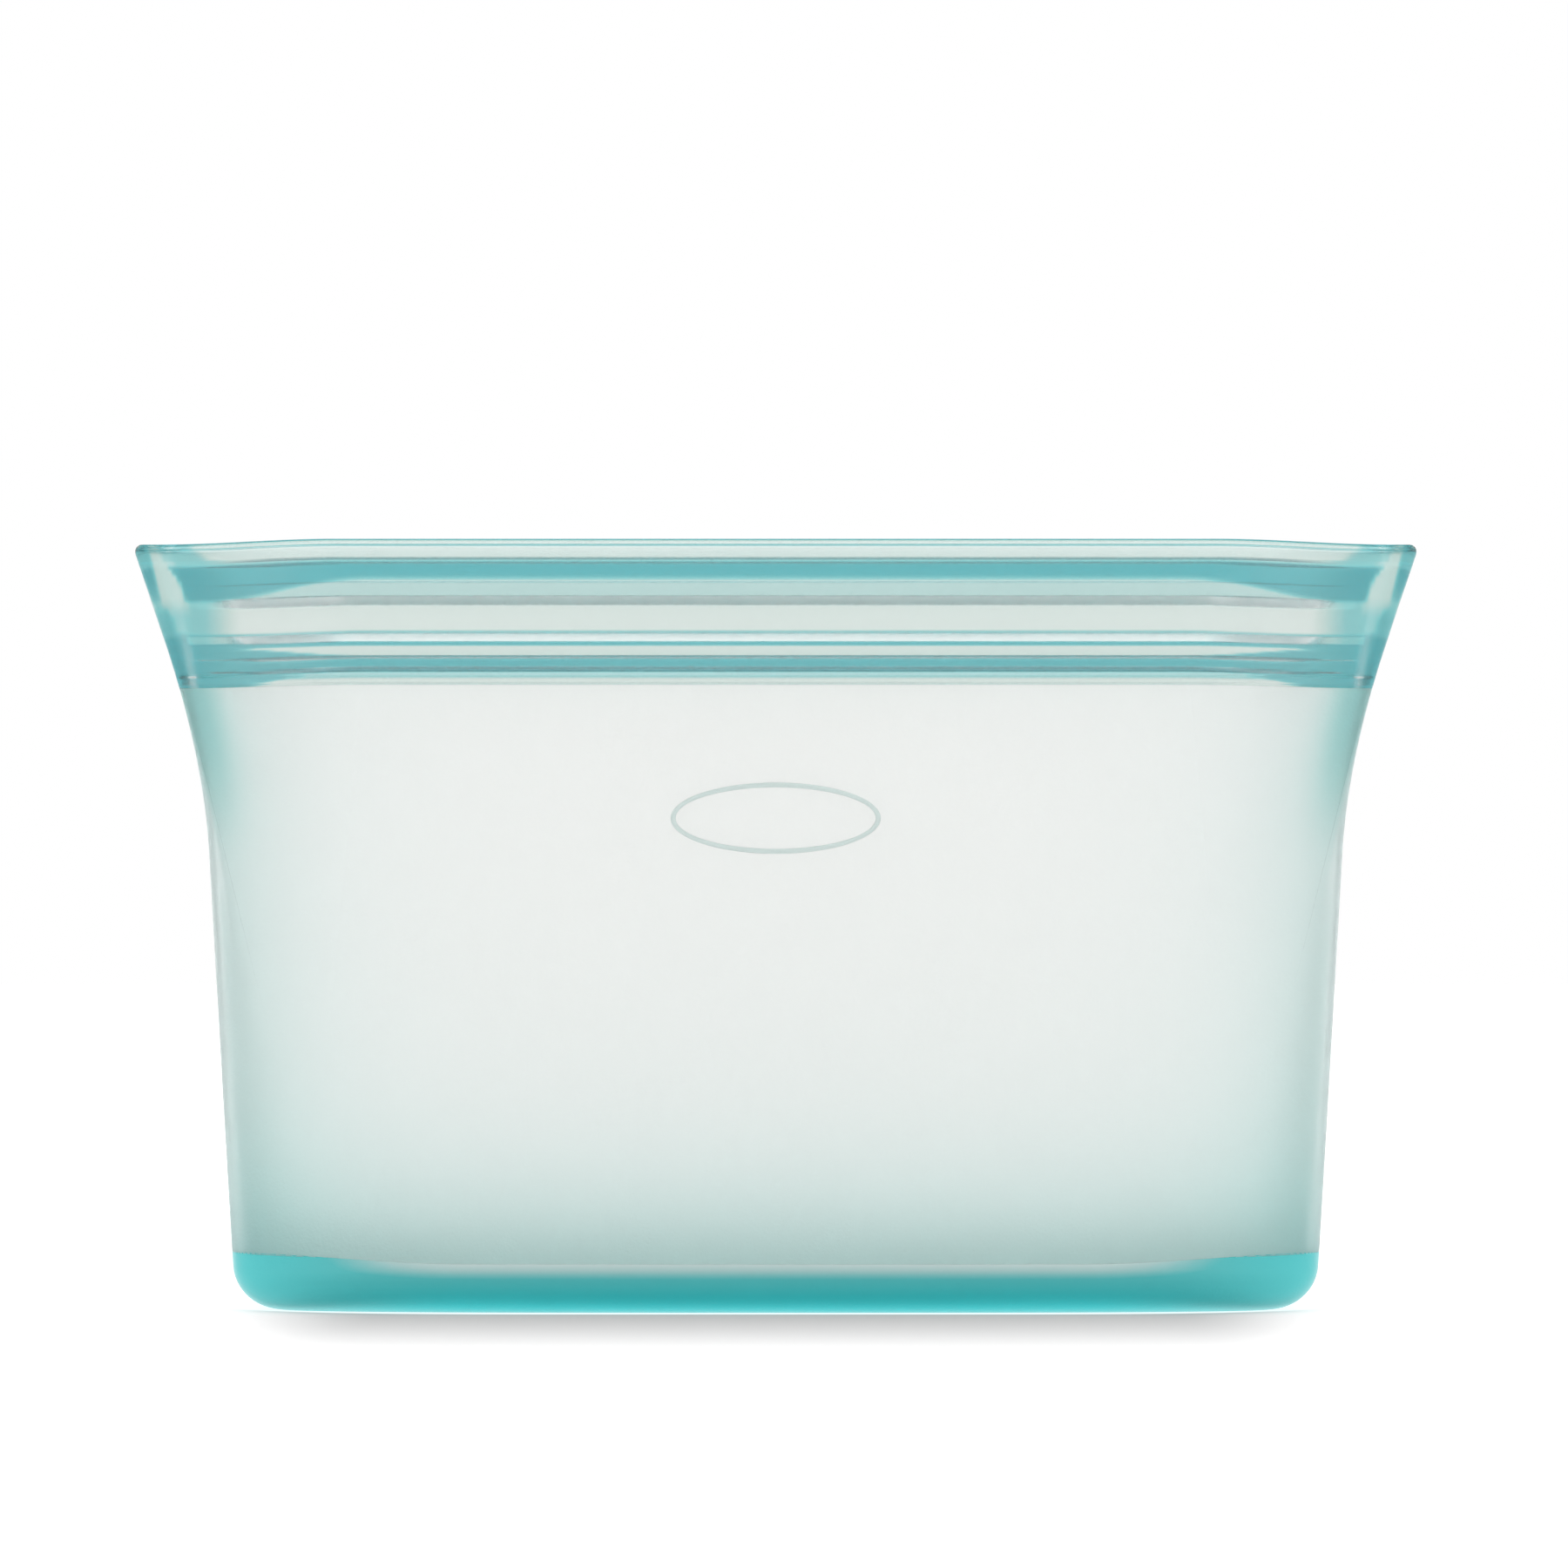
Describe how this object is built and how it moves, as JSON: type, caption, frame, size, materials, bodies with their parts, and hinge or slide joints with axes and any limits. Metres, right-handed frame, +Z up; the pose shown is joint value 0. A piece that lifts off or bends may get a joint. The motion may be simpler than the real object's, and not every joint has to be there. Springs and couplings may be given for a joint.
{
  "type": "reusable silicone bag",
  "caption": "Free-standing translucent silicone storage bag: wide flat base, flaring sides, press-to-close zip band and fused mouth corners.",
  "frame": {"origin": "middle of the underside, on the surface that the bag stands on", "axes": "+X along the mouth, +Z up, and the front face, with the tongue side of the zip, faces -Y"},
  "size_m": [0.2362, 0.088, 0.1396],
  "materials": {
    "silicone_wall": "thin clear teal silicone with a fine frosted grain",
    "silicone_zip": "thick teal silicone, satin and slightly frosted",
    "silicone_base": "thick teal silicone, satin and slightly frosted"
  },
  "bodies": {
    "root": {"back_bead_left": "silicone_zip", "back_bead_right": "silicone_zip", "back_lip_left": "silicone_zip", "back_lip_right": "silicone_zip", "back_lower_claw_left": "silicone_zip", "back_lower_claw_right": "silicone_zip", "back_upper_claw_left": "silicone_zip", "back_upper_claw_right": "silicone_zip", "back_wall": "silicone_wall", "back_web_left": "silicone_zip", "back_web_right": "silicone_zip", "base_floor": "silicone_base", "foot_ring": "silicone_base", "front_bead_left": "silicone_zip", "front_bead_right": "silicone_zip", "front_lip_left": "silicone_zip", "front_lip_right": "silicone_zip", "front_lower_rail_left": "silicone_zip", "front_lower_rail_right": "silicone_zip", "front_tongue_left": "silicone_zip", "front_tongue_right": "silicone_zip", "front_upper_rail_left": "silicone_zip", "front_upper_rail_right": "silicone_zip", "front_wall": "silicone_wall", "front_web_left": "silicone_zip", "front_web_right": "silicone_zip", "left_corner": "silicone_zip", "left_end_wall": "silicone_wall", "right_corner": "silicone_zip", "right_end_wall": "silicone_wall"},
    "front_track": {"front_web": "silicone_zip", "front_upper_rail": "silicone_zip", "front_tongue": "silicone_zip", "front_lower_rail": "silicone_zip", "front_lip": "silicone_zip", "front_bead": "silicone_zip"},
    "back_track": {"back_web": "silicone_zip", "back_upper_claw": "silicone_zip", "back_lower_claw": "silicone_zip", "back_lip": "silicone_zip", "back_bead": "silicone_zip"}
  },
  "joints": [
    {"name": "front_track_slide", "type": "slide", "parent": "root", "child": "front_track", "axis": [0, 1, 0], "range_m": [-0.01, 0.0227], "stiffness_N_per_m": 40},
    {"name": "back_track_slide", "type": "slide", "parent": "root", "child": "back_track", "axis": [0, -1, 0], "range_m": [-0.01, 0.0227]}
  ],
  "couplings": [
    {"joint": "back_track_slide", "follows": "front_track_slide", "ratio": 1}
  ]
}
